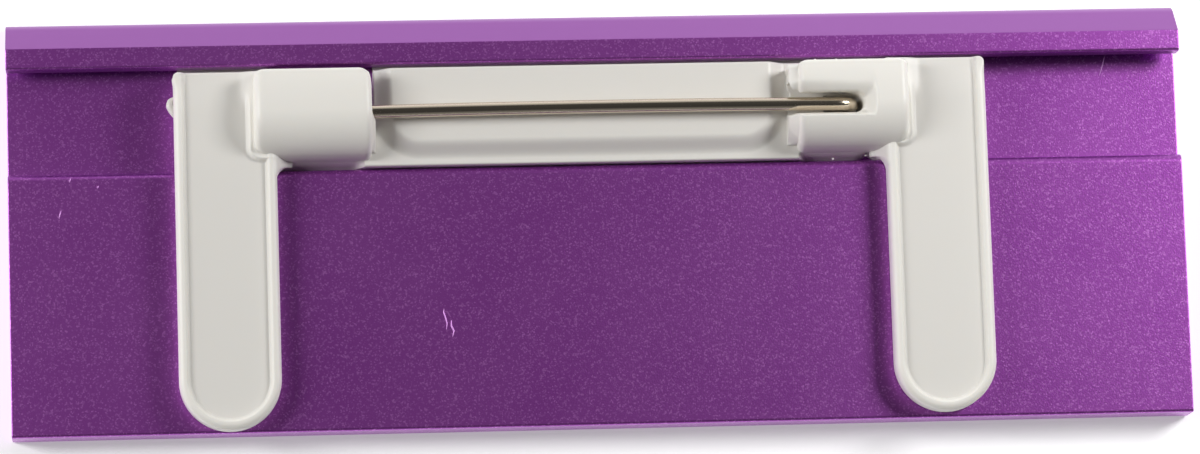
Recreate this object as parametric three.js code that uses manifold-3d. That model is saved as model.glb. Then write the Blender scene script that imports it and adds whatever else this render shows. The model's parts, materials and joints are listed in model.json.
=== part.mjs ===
// Name badge lying on its front face: an anodised extrusion with a pin fitting pushed in under its lip.
// X runs along the badge, Y from its bottom edge to its lip, Z out of its back. Lengths are millimetres.
import * as THREE from "three";
import { mergeVertices } from "three/addons/utils/BufferGeometryUtils.js";
import Module from "manifold-3d";

const wasm = await Module();
wasm.setup();

// Plate: bands of the extrusion from the bottom edge to the lip's far edge, and heights above the front face.
const plateLength = 75;
const lowerBand = 16.7;
const channelWidth = 6.55;
const lipFace = 1.35;
const bevelWidth = 1.9;
const plateThickness = 2.4;
const channelFloor = 1.1;
const lipHeight = 3.3;
const hookThickness = 1.1;
const grooveDepth = 1.25;
const farEdgeRadius = 1.5;
const edgeRadius = 0.3;
const lipEdgeRadius = 0.2;
const stepRadius = 0.15;

// Pin fitting: plan sizes, then heights above the face that each feature stands on.
const fittingLength = 51.9;
const fittingShift = -1.13;
const legWidth = 6.6;
const legEndInset = 0.15;
const legCornerRadius = 0.35;
const rootFillet = 0.8;
const beadWidth = 0.75;
const lipGap = 0.35;
const channelPlay = 0.15;
const seatClearance = 0.05;
const tongueClearance = 0.15;
const legFloat = 0.15;
const legThickness = 1.55;
const beadHeight = 0.35;
const ledgeProud = 0.35;
const padHeight = 0.75;
const padSlope = 1.2;
const padCornerRadius = 1.7;
const ledgeWidth = 0.3;

// Housings at both ends of the pad: the root end is solid with a slot, the tip end is a hook open to the lip.
const housingLength = 7.5;
const housingOverlap = 1.45;
const housingGap = 0.22;
const housingWall = 0.9;
const housingInset = 0.15;
const housingCornerRadius = 0.6;
const roofThickness = 0.75;
const roofDrop = 0.3;
const roofCornerRadius = 0.9;
const rimWidth = 0.65;
const rimCornerRadius = 1.4;

// Pin wire.
const wireDiameter = 0.85;
const wireOverPad = 0.28;
const wirePlay = 0.22;
const wireBow = 0.11;
const wireBendRadius = 1.2;
const wireRootDepth = 4.02;
const wireEndGap = 0.3;
const tipLength = 2.6;
const tipPointRadius = 0.05;
const tipInset = 0.3;
const swingAngle = THREE.MathUtils.degToRad(10);

const arcSegments = 10;
const wireSides = 12;
const wireSteps = 90;
const cutOver = 5;

// Lines of the plate across its height.
const plateHeight = lowerBand + channelWidth + lipFace + bevelWidth;
const bottomEdge = -plateHeight / 2;
const step = bottomEdge + lowerBand;
const lipMouth = step + channelWidth;
const lipTop = lipMouth + lipFace;
const farEdge = lipTop + bevelWidth;
const grooveEnd = lipMouth + grooveDepth;
const hookUnderside = lipHeight - hookThickness;

// Lines and levels of the fitting.
const barLow = step + channelPlay;
const barHigh = lipMouth - lipGap;
const barBase = channelFloor + seatClearance;
const ledgeTop = plateThickness + ledgeProud;
const padTop = ledgeTop + padHeight;
const legUnderside = plateThickness + legFloat;
const legTop = legUnderside + legThickness;
const panelTop = legTop - beadHeight;
const legOuter = fittingLength / 2;
const legInner = legOuter - legWidth;
const housingOuter = legInner + housingOverlap;
const housingInner = housingOuter - housingLength;
const padHalfLength = housingInner - housingGap;
const housingHigh = barHigh - housingInset;

// Lines and levels of the wire.
const wireRadius = wireDiameter / 2;
const wireHeight = padTop + wireOverPad + wireRadius;
const wireLine = (barLow + ledgeWidth + barHigh) / 2;
const roofUnderside = wireHeight + wireRadius + wirePlay;
const crest = roofUnderside + roofThickness;
const rootX = housingInner + wireRootDepth;
const hollowEnd = housingOuter - housingWall;
const tipX = -(hollowEnd - tipInset);

// A geometry's triangles as a solid, and a solid back as a geometry.
function solid(geometry) {
  geometry.deleteAttribute("normal");
  geometry.deleteAttribute("uv");
  const merged = mergeVertices(geometry, 1e-4);
  return new wasm.Manifold(
    new wasm.Mesh({
      numProp: 3,
      vertProperties: merged.attributes.position.array,
      triVerts: new Uint32Array(merged.index.array),
    }),
  );
}

function geometryOf(body) {
  const mesh = body.getMesh();
  const geometry = new THREE.BufferGeometry();
  geometry.setAttribute("position", new THREE.BufferAttribute(mesh.vertProperties, 3));
  geometry.setIndex(new THREE.BufferAttribute(mesh.triVerts, 1));
  const faceted = geometry.toNonIndexed();
  faceted.computeVertexNormals();
  return faceted;
}

// A closed outline in Y and Z carried along X from x0 to x1.
function alongX(shape, x0, x1) {
  const geometry = new THREE.ExtrudeGeometry(shape, {
    depth: x1 - x0,
    bevelEnabled: false,
    curveSegments: arcSegments,
  });
  const turned = new THREE.Matrix4().makeBasis(
    new THREE.Vector3(0, 1, 0),
    new THREE.Vector3(0, 0, 1),
    new THREE.Vector3(1, 0, 0),
  );
  return geometry.applyMatrix4(turned).translate(x0, 0, 0);
}

// A closed outline in X and Y carried along Z from z0 to z1.
function alongZ(shape, z0, z1) {
  const settings = { depth: z1 - z0, bevelEnabled: false, curveSegments: arcSegments };
  return new THREE.ExtrudeGeometry(shape, settings).translate(0, 0, z0);
}

function polygon(points) {
  return new THREE.Shape(points.map(([x, y]) => new THREE.Vector2(x, y)));
}

// The outline on the fitting's right side, or its mirror image on the left side.
function onSide(shape, side) {
  return polygon(shape.getPoints(arcSegments).map((p) => [side * p.x, p.y]));
}

// A rectangle whose corners are arcs: radii in the order low inner, low outer, high outer, high inner.
function roundedBox(x0, y0, x1, y1, radii) {
  const [a, b, c, d] = radii;
  const shape = new THREE.Shape();
  shape.moveTo(x0 + a, y0);
  shape.lineTo(x1 - b, y0);
  shape.absarc(x1 - b, y0 + b, b, -Math.PI / 2, 0, false);
  shape.lineTo(x1, y1 - c);
  shape.absarc(x1 - c, y1 - c, c, 0, Math.PI / 2, false);
  shape.lineTo(x0 + d, y1);
  shape.absarc(x0 + d, y1 - d, d, Math.PI / 2, Math.PI, false);
  shape.lineTo(x0, y0 + a);
  shape.absarc(x0 + a, y0 + a, a, Math.PI, 1.5 * Math.PI, false);
  return shape;
}

// The extrusion's section: a flat front, and a back with step, channel, hooked lip, bevel and round far edge.
function plateSection() {
  const bevelEnd = lipHeight - bevelWidth;
  const tangent = farEdgeRadius * Math.tan(Math.PI / 8);
  const shape = new THREE.Shape();
  shape.moveTo(bottomEdge + edgeRadius, 0);
  shape.lineTo(farEdge - edgeRadius, 0);
  shape.absarc(farEdge - edgeRadius, edgeRadius, edgeRadius, -Math.PI / 2, 0, false);
  shape.lineTo(farEdge, bevelEnd - tangent);
  shape.absarc(farEdge - farEdgeRadius, bevelEnd - tangent, farEdgeRadius, 0, Math.PI / 4, false);
  shape.lineTo(lipTop, lipHeight);
  shape.lineTo(lipMouth + lipEdgeRadius, lipHeight);
  const lipCentre = [lipMouth + lipEdgeRadius, lipHeight - lipEdgeRadius];
  shape.absarc(...lipCentre, lipEdgeRadius, Math.PI / 2, Math.PI, false);
  shape.lineTo(lipMouth, hookUnderside);
  shape.lineTo(grooveEnd, hookUnderside);
  shape.lineTo(grooveEnd, channelFloor);
  shape.lineTo(step, channelFloor);
  shape.lineTo(step, plateThickness - stepRadius);
  shape.absarc(step - stepRadius, plateThickness - stepRadius, stepRadius, 0, Math.PI / 2, false);
  shape.lineTo(bottomEdge + edgeRadius, plateThickness);
  shape.absarc(bottomEdge + edgeRadius, plateThickness - edgeRadius, edgeRadius, Math.PI / 2, Math.PI, false);
  shape.lineTo(bottomEdge, edgeRadius);
  shape.absarc(bottomEdge + edgeRadius, edgeRadius, edgeRadius, Math.PI, 1.5 * Math.PI, false);
  return shape;
}

// The bar that lies in the channel, with the tongue that the lip's hook holds down.
function barAndTongue() {
  const tongueTop = hookUnderside - tongueClearance;
  const tongueEnd = grooveEnd - channelPlay;
  const section = polygon([
    [barLow, barBase],
    [tongueEnd, barBase],
    [tongueEnd, tongueTop],
    [barHigh, tongueTop],
    [barHigh, ledgeTop],
    [barLow, ledgeTop],
  ]);
  return solid(alongX(section, -legOuter, legOuter));
}

// The raised pad under the wire: sloping ends and lower side, round lower corners, cut straight at the lip.
function pad() {
  const top = roundedBox(
    -padHalfLength + padSlope,
    barLow + ledgeWidth + padSlope,
    padHalfLength - padSlope,
    barHigh + padSlope,
    [padCornerRadius, padCornerRadius, edgeRadius, edgeRadius],
  );
  const sloped = new THREE.ExtrudeGeometry(top, {
    depth: padHeight / 2,
    bevelThickness: padHeight,
    bevelSize: padSlope,
    bevelSegments: 1,
    curveSegments: arcSegments,
  });
  sloped.computeBoundingBox();
  sloped.translate(0, 0, padTop - sloped.boundingBox.max.z);
  const besideLip = new THREE.BoxGeometry(2 * legOuter, barHigh - barLow, padTop + cutOver);
  besideLip.translate(0, (barLow + barHigh) / 2, (padTop + cutOver) / 2);
  return solid(sloped).intersect(solid(besideLip));
}

// One leg: a raised bead along the sides and the round end of a sunk panel, which is open towards the lip.
// A second bead runs round the housing's outer end.
function leg(side) {
  const low = bottomEdge + legEndInset;
  const round = legWidth / 2;
  const outline = roundedBox(legInner, low, legOuter, barHigh, [round, round, legCornerRadius, edgeRadius]);
  const panelRound = round - beadWidth;
  const panel = roundedBox(
    legInner + beadWidth,
    low + beadWidth,
    legOuter - beadWidth,
    barHigh + beadWidth,
    [panelRound, panelRound, edgeRadius, edgeRadius],
  );
  const rim = roundedBox(
    legInner - rimWidth,
    barLow + ledgeWidth - rimWidth,
    housingOuter + rimWidth,
    barHigh + rimWidth,
    [edgeRadius, rimCornerRadius, edgeRadius, edgeRadius],
  );
  const rimBlock = solid(alongZ(onSide(rim, side), 0, legTop));
  const sunk = solid(alongZ(onSide(panel, side), panelTop, legTop + cutOver)).subtract(rimBlock);
  return solid(alongZ(onSide(outline, side), legUnderside, legTop)).subtract(sunk);
}

// The fillet in the corner between a leg and the bar's lower edge.
function rootWeb(side) {
  const web = new THREE.Shape();
  web.moveTo(legInner + edgeRadius, barLow + edgeRadius);
  web.lineTo(legInner - rootFillet, barLow + edgeRadius);
  web.lineTo(legInner - rootFillet, barLow);
  web.absarc(legInner - rootFillet, barLow - rootFillet, rootFillet, Math.PI / 2, 0, true);
  web.lineTo(legInner + edgeRadius, barLow - rootFillet);
  return solid(alongZ(onSide(web, side), legUnderside, ledgeTop));
}

// Both housings share one section: a quarter ellipse up from the ledge, then a nearly flat roof.
function housingSection() {
  const foot = barLow + ledgeWidth;
  const roofEdge = crest - roofDrop;
  const shape = new THREE.Shape();
  shape.moveTo(foot, barBase);
  shape.lineTo(housingHigh, barBase);
  shape.lineTo(housingHigh, roofEdge - edgeRadius);
  shape.absarc(housingHigh - edgeRadius, roofEdge - edgeRadius, edgeRadius, 0, Math.PI / 2, false);
  shape.quadraticCurveTo((wireLine + housingHigh) / 2, crest, wireLine, crest);
  shape.absellipse(wireLine, ledgeTop, wireLine - foot, crest - ledgeTop, Math.PI / 2, Math.PI, false, 0);
  shape.lineTo(foot, barBase);
  return shape;
}

function housingBlock(side, innerRadius) {
  const plan = roundedBox(
    housingInner,
    barLow + ledgeWidth - edgeRadius,
    housingOuter,
    housingHigh,
    [edgeRadius, housingCornerRadius, edgeRadius, innerRadius],
  );
  const ends = side > 0 ? [housingInner, housingOuter] : [-housingOuter, -housingInner];
  const block = solid(alongX(housingSection(), ...ends));
  return block.intersect(solid(alongZ(onSide(plan, side), 0, crest + cutOver)));
}

// The hollow that takes the wire's tip: open below, at the pad's end and towards the lip.
function tipHollow() {
  const wallInside = wireLine - wireRadius - 2 * wirePlay;
  const springLine = (padTop + ledgeTop) / 2;
  const shape = new THREE.Shape();
  shape.moveTo(wallInside, barBase - cutOver);
  shape.lineTo(grooveEnd + cutOver, barBase - cutOver);
  shape.lineTo(grooveEnd + cutOver, roofUnderside);
  shape.lineTo(wireLine, roofUnderside);
  const [halfWidth, rise] = [wireLine - wallInside, roofUnderside - springLine];
  shape.absellipse(wireLine, springLine, halfWidth, rise, Math.PI / 2, Math.PI, false, 0);
  shape.lineTo(wallInside, barBase - cutOver);
  return solid(alongX(shape, -hollowEnd, -padHalfLength));
}

// The slot for the wire's root: a funnel open upwards, a swing space under its flank and a round-ended well.
function rootSlot() {
  const half = wireRadius + wirePlay;
  const slotEnd = rootX + half;
  const funnelEnd = slotEnd + wireRadius;
  const mouth = housingInner - cutOver / 2;
  const flankTop = crest + cutOver;
  const funnel = polygon([
    [wireLine - half, roofUnderside],
    [wireLine + half, roofUnderside],
    [wireLine + half + flankTop - roofUnderside, flankTop],
    [wireLine - half, flankTop],
  ]);
  const reach = rootX - mouth;
  const swept = polygon([
    [rootX, wireLine - half],
    [rootX, wireLine + half],
    [mouth, wireLine + half / Math.cos(swingAngle) + reach * Math.tan(swingAngle)],
    [mouth, wireLine - half],
  ]);
  const well = roundedBox(
    rootX - wireBendRadius - half,
    wireLine - half,
    slotEnd,
    wireLine + half,
    [half / 2, half, half, half / 2],
  );
  const wellFloor = wireHeight - wireRootLength() - wireEndGap;
  return solid(alongX(funnel, mouth, funnelEnd))
    .add(solid(alongZ(swept, padTop, roofUnderside + seatClearance)))
    .add(solid(alongZ(well, wellFloor, roofUnderside + seatClearance)));
}

// How far the wire's root reaches below its straight stretch: down to the bar's underside, less the end gap.
function wireRootLength() {
  return wireHeight - barBase - 2 * wireEndGap;
}

function pinFitting() {
  let body = barAndTongue().add(pad());
  for (const side of [-1, 1]) {
    body = body.add(leg(side)).add(rootWeb(side));
  }
  body = body.add(housingBlock(-1, roofCornerRadius)).add(housingBlock(1, edgeRadius));
  return geometryOf(body.subtract(tipHollow()).subtract(rootSlot()));
}

// The wire about its own root: the hinge line is the local Z axis.
function pinWire() {
  const straightEnd = -wireBendRadius;
  const tipEnd = tipX - rootX;
  const shankStart = tipEnd + tipLength;
  const bowed = new THREE.Vector3((shankStart + straightEnd) / 2, 2 * wireBow, 0);
  const path = new THREE.CurvePath();
  path.add(
    new THREE.QuadraticBezierCurve3(
      new THREE.Vector3(shankStart, 0, 0),
      bowed,
      new THREE.Vector3(straightEnd, 0, 0),
    ),
  );
  path.add(
    new THREE.QuadraticBezierCurve3(
      new THREE.Vector3(straightEnd, 0, 0),
      new THREE.Vector3(0, 0, 0),
      new THREE.Vector3(0, 0, -wireBendRadius),
    ),
  );
  const rootTop = new THREE.Vector3(0, 0, -wireBendRadius);
  path.add(new THREE.LineCurve3(rootTop, new THREE.Vector3(0, 0, -wireRootLength())));
  const round = new THREE.Shape().absarc(0, 0, wireRadius, 0, 2 * Math.PI, false);
  const shank = new THREE.ExtrudeGeometry(round, {
    steps: wireSteps,
    curveSegments: wireSides / 2,
    extrudePath: path,
  });
  const point = new THREE.LatheGeometry(
    [
      new THREE.Vector2(0, 0),
      new THREE.Vector2(tipPointRadius, 0),
      new THREE.Vector2(wireRadius, tipLength),
      new THREE.Vector2(wireRadius, tipLength + wireRadius),
      new THREE.Vector2(0, tipLength + wireRadius),
    ],
    wireSides,
  );
  point.rotateZ(-Math.PI / 2).translate(tipEnd, 0, 0);
  return geometryOf(solid(shank).add(solid(point)));
}

const anodised = new THREE.MeshStandardMaterial({ color: 0x6e2f78, roughness: 0.45, metalness: 0.9 });
const moulded = new THREE.MeshStandardMaterial({ color: 0xdcdad2, roughness: 0.4, metalness: 0 });
const nickel = new THREE.MeshStandardMaterial({ color: 0xc9c2b4, roughness: 0.2, metalness: 1 });

const badge = new THREE.Group();

const plate = new THREE.Mesh(alongX(plateSection(), -plateLength / 2, plateLength / 2), anodised);
plate.name = "badge_plate";
badge.add(plate);

const pinAssembly = new THREE.Group();
pinAssembly.position.x = fittingShift;
badge.add(pinAssembly);

const fitting = new THREE.Mesh(pinFitting(), moulded);
fitting.name = "pin_fitting";
pinAssembly.add(fitting);

const wire = new THREE.Mesh(pinWire(), nickel);
wire.name = "pin_wire";
wire.position.set(rootX, wireLine, wireHeight);
pinAssembly.add(wire);

export default badge;
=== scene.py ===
"""Looks of a name badge seen from its back: anodised plate, moulded fitting and nickel plated wire."""

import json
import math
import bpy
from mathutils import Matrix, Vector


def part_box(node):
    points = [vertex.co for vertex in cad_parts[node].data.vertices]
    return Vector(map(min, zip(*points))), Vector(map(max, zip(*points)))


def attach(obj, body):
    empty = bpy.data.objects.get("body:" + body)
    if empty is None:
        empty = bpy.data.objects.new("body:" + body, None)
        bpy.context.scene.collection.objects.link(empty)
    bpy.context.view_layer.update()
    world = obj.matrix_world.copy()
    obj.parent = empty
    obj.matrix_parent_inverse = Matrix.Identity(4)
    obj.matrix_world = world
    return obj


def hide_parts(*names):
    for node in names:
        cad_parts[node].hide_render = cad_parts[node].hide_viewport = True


bl_info = {
    "name": "Name badge",
    "version": (1, 0, 0),
    "blender": (4, 5, 0),
    "location": "3D View > Sidebar > Name badge",
    "description": "Makes the plate, the pin fitting and the pin wire of a name badge, and its stage",
    "category": "Object",
}

from types import SimpleNamespace

import bmesh
import bpy
import numpy as np
from bpy.props import FloatProperty, FloatVectorProperty, PointerProperty
from mathutils import Matrix, Vector

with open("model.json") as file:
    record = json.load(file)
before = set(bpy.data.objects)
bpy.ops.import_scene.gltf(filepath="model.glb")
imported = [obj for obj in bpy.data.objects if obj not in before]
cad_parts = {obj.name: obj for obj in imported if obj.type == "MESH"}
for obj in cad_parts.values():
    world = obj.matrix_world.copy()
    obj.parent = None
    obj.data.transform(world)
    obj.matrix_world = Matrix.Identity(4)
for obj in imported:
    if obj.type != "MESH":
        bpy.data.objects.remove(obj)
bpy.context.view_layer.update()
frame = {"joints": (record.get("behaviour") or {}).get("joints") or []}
PLATE_LOW, PLATE_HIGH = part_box("badge_plate")
FITTING_LOW, FITTING_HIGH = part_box("pin_fitting")
WIRE_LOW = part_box("pin_wire")[0]
HINGE = Vector(frame["joints"][0]["pos_m"])

MILLIMETRE = 0.001
SHARP_ANGLE = math.radians(38)

# In millimetres: points this close are one, in a new mesh and along a cut's seams, then the room beside the
# wire and the housings' deepest chamfer.
WELD = 1e-5
SEAM = 0.004
WIRE_PLAY = 0.22
CHAMFER = 0.75


# Settings


def linear(hex_colour):
    """The linear colour of an sRGB hex value: each channel through the sRGB curve, alpha 1."""
    channels = np.array([int(hex_colour[i : i + 2], 16) for i in (1, 3, 5)]) / 255
    curve = np.where(channels <= 0.04045, channels / 12.92, ((channels + 0.055) / 1.055) ** 2.4)
    return (*curve.tolist(), 1.0)


def length(name, description, millimetres):
    metres = millimetres * MILLIMETRE
    limits = {"default": metres, "min": 0.0, "precision": 5, "unit": "LENGTH"}
    return FloatProperty(name=name, description=description, **limits)


def colour(name, description, hex_colour):
    limits = {"default": linear(hex_colour), "size": 4, "min": 0.0, "max": 1.0, "subtype": "COLOR"}
    return FloatVectorProperty(name=name, description=description, **limits)


def power(name, description, watts):
    return FloatProperty(name=name, description=description, default=watts, min=0.0, unit="POWER")


def glow(name, description, brightness):
    return FloatProperty(name=name, description=description, default=brightness, min=0.0)


class PlateSettings(bpy.types.PropertyGroup):
    """Sizes of the extruded plate."""

    lower_band: length("Lower band", "Height of the flat band below the step", 16.7)
    channel_width: length("Channel width", "Height of the channel from the step to the lip", 6.55)
    lip_face: length("Lip face", "Height of the flat face on the lip", 1.35)
    thickness: length("Thickness", "Thickness of the lower band", 2.4)
    channel_floor: length("Channel floor", "Thickness of the plate under the channel", 1.1)
    end_round: length("End rounding", "Radius left by deburring the sawn ends", 0.05)


class FittingSettings(bpy.types.PropertyGroup):
    """Sizes of the moulded pin fitting."""

    leg_width: length("Leg width", "Width of each leg", 6.44)
    bead_width: length("Bead width", "Width of the round bead round a leg's panel", 0.78)
    bead_height: length("Bead height", "Height of the bead above the sunk panel", 0.35)
    pad_height: length("Pad height", "Height of the pad above its ledge", 0.75)
    pad_slope: length("Pad slope", "Width of the soft slope round the pad", 1.2)
    housing_round: length("Housing rounding", "Radius on the housings' outer ends", 0.5)
    ring_reach: length("Ring reach", "Distance from a housing to its ring's far side", 0.56)


class WireSettings(bpy.types.PropertyGroup):
    """Sizes of the pin wire."""

    diameter: length("Diameter", "Diameter of the wire", 0.85)
    bow: length("Bow", "How far the wire bows towards the lip at its middle", 0.11)
    point: length("Point", "Length of the ground point", 2.6)


class FinishSettings(bpy.types.PropertyGroup):
    """Colours and grain of the three finishes."""

    anodised: colour("Anodised colour", "Colour of the dyed oxide on the aluminium", "#AC51BD")
    # Painted reflection tone: the bevel gets a darker, greyer purple than the blasted face, standing in for
    # how its reflection of the white floor pales it.
    painted_bevel_tone: colour("Cut face colour", "Colour of the smoother bevel that is cut after blasting", "#9C57AC")
    # Painted glints: the bright grains of the blasted face are painted in this paler purple, standing in for
    # dimples that catch the light; the dye's real paler patches lean towards it too.
    painted_glint_and_patch_colour: colour("Glint colour", "Colour of the bright grains in the blasted face", "#E08CEB")
    plastic: colour("Plastic colour", "Colour of the moulded plastic", "#E6E3DD")
    # Painted highlight: the highest faces, beads and housings, are painted in this paler colour, standing in
    # for the light that they catch; it is painted light, not wear.
    painted_highlight: colour("Worn plastic", "Colour of the plastic where handling has rubbed it paler", "#F0EDE6")
    nickel: colour("Nickel colour", "Colour of the plated wire", "#DCCFBC")
    bare: colour("Bare metal", "Colour of aluminium where the oxide is scratched off", "#DDA0E6")
    grain: length("Blast grain", "Size of a dimple left by the blasting grit", 0.09)


class StageSettings(bpy.types.PropertyGroup):
    """Light and floor."""

    floor: colour("Floor colour", "Colour of the plain white paper", "#FFFFFF")
    left_power: power("Left lamp", "Power of the small lamp on the left", 0.31)
    right_power: power("Right lamp", "Power of the small lamp on the right", 0.235)
    back_glow: glow("Back glow", "Brightness of the room beyond the lip, near the horizon", 0.9)
    left_glow: glow("Left glow", "Brightness of the room on the left, near the horizon", 1.05)
    front_glow: glow("Front glow", "Brightness of the room on the near side, near the horizon", 0.22)
    room_glow: glow("Room glow", "Brightness of the rest of the room", 0.04)


class BadgeSettings(bpy.types.PropertyGroup):
    """All settings of the badge."""

    plate: PointerProperty(type=PlateSettings, name="Plate", description="Sizes of the plate")
    fitting: PointerProperty(type=FittingSettings, name="Fitting", description="Sizes of the pin fitting")
    wire: PointerProperty(type=WireSettings, name="Wire", description="Sizes of the pin wire")
    finish: PointerProperty(type=FinishSettings, name="Finish", description="Colours and grain")
    stage: PointerProperty(type=StageSettings, name="Stage", description="Light and floor")


def in_millimetres(group):
    """The group's lengths in millimetres, under their own names."""
    properties = group.bl_rna.properties.items()
    lengths = [key for key, prop in properties if getattr(prop, "unit", "NONE") == "LENGTH"]
    return SimpleNamespace(**{key: getattr(group, key) / MILLIMETRE for key in lengths})


def plate_lines():
    """Lines across the plate and levels above it, in millimetres, worked out from the settings."""
    size = in_millimetres(bpy.context.scene.name_badge.plate)
    groove_depth, hook_thickness = 1.25, 1.1
    size.half_length = PLATE_HIGH.x / MILLIMETRE
    size.bottom = PLATE_LOW.y / MILLIMETRE
    size.far = PLATE_HIGH.y / MILLIMETRE
    size.lip_height = PLATE_HIGH.z / MILLIMETRE
    size.step = size.bottom + size.lower_band
    size.mouth = size.step + size.channel_width
    size.lip_top = size.mouth + size.lip_face
    size.groove_end = size.mouth + groove_depth
    size.hook_underside = size.lip_height - hook_thickness
    return size


def fitting_lines():
    """Lines and levels of the pin fitting in millimetres. X is counted outwards from the fitting's middle.

    Names in low and high are lines across the plate, names in top, base and underside are heights above it.
    """
    size = in_millimetres(bpy.context.scene.name_badge.fitting)
    end_gap = 0.09
    size.shift = (FITTING_LOW.x + FITTING_HIGH.x) / 2 / MILLIMETRE
    size.outer = (FITTING_HIGH.x - FITTING_LOW.x) / 2 / MILLIMETRE - end_gap
    size.inner = size.outer - size.leg_width
    size.bar_low = 3.53
    size.bar_high = 9.72
    size.bar_base = FITTING_LOW.z / MILLIMETRE
    size.ledge_top = 2.75
    size.pad_top = size.ledge_top + size.pad_height
    size.leg_underside = 2.55
    size.leg_top = 4.1
    size.panel_top = size.leg_top - size.bead_height
    size.foot = 3.9
    size.housing_high = 9.5
    size.crest = FITTING_HIGH.z / MILLIMETRE
    size.housing_base = 1.2
    size.wire_line = HINGE.y / MILLIMETRE
    size.wire_height = HINGE.z / MILLIMETRE
    size.root_x = HINGE.x / MILLIMETRE - size.shift
    size.hollow_end = 19.9
    size.hollow_wall = 5.98
    size.pad_end = 13.15
    size.housing_outer = 20.8
    size.roof_underside = 4.85
    size.flank_foot = 4.7
    size.wire_half = 0.425
    return size


# The moulding was pushed in a little askew: the low end and the lip end of the left leg and of the right one,
# and the low line of the ring round each housing.
LEG_ENDS = {-1: (-13.19, 9.61), 1: (-12.95, 9.78)}
RING_LOW = {-1: 4.25, 1: 4.5}


# Numbers


def smooth_step(low, high, value):
    """0 below low, 1 above high, and 3t^2 - 2t^3 between them."""
    t = np.clip((value - low) / (high - low), 0, 1)
    return t * t * (3 - 2 * t)


def smooth_min(a, b, blend):
    """The lower of a and b, with the crease between them rounded over the width blend."""
    h = np.maximum(blend - np.abs(a - b), 0) / blend
    return np.minimum(a, b) - h * h * blend / 4


def smooth_max(a, b, blend):
    """The higher of a and b, rounded over in the same way."""
    return -smooth_min(-a, -b, blend)


def round_off(distance, radius):
    """How far a quarter circle of this radius lies below its tangent, at a distance in from the edge."""
    inside = np.clip(distance, 0, radius)
    return radius - np.sqrt(np.maximum(radius**2 - (radius - inside) ** 2, 0))


def box_distance(x, y, low, high, radius):
    """Distance outside a rectangle from low to high with rounded corners: negative inside it."""
    centre = [(a + b) / 2 for a, b in zip(low, high)]
    half = [(b - a) / 2 - radius for a, b in zip(low, high)]
    qx = np.abs(x - centre[0]) - half[0]
    qy = np.abs(y - centre[1]) - half[1]
    return np.hypot(np.maximum(qx, 0), np.maximum(qy, 0)) + np.minimum(np.maximum(qx, qy), 0) - radius


def arc(centre, radius, start, end, count):
    """Points of a circle's arc round centre, from the start angle to the end angle in degrees."""
    angle = np.radians(np.linspace(start, end, count))
    return np.stack([centre[0] + radius * np.cos(angle), centre[1] + radius * np.sin(angle)], -1)


def graded(low, high, count, finest):
    """Numbers from low to high whose first and last steps are about finest, growing evenly to the middle."""
    span = high - low
    half = np.geomspace(finest, span / 2, max(count // 2, 2))
    return np.concatenate([[low], low + half[:-1], [low + span / 2], high - half[:-1][::-1], [high]])


def near_edges(low, high, step, edges, reach=0.35, finest=0.015):
    """Even numbers from low to high with denser ones on both sides of each edge."""
    offsets = np.geomspace(finest, reach, 9)
    values = [np.linspace(low, high, max(int(round((high - low) / step)), 1) + 1)]
    for edge in edges:
        values += [edge + offsets, edge - offsets, [edge]]
    values = np.unique(np.round(np.concatenate(values), 5))
    values = values[(values >= low) & (values <= high)]
    keep = np.concatenate([[True], np.diff(values) > finest * 0.5])
    values = values[keep]
    values[-1] = high
    return values


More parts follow.
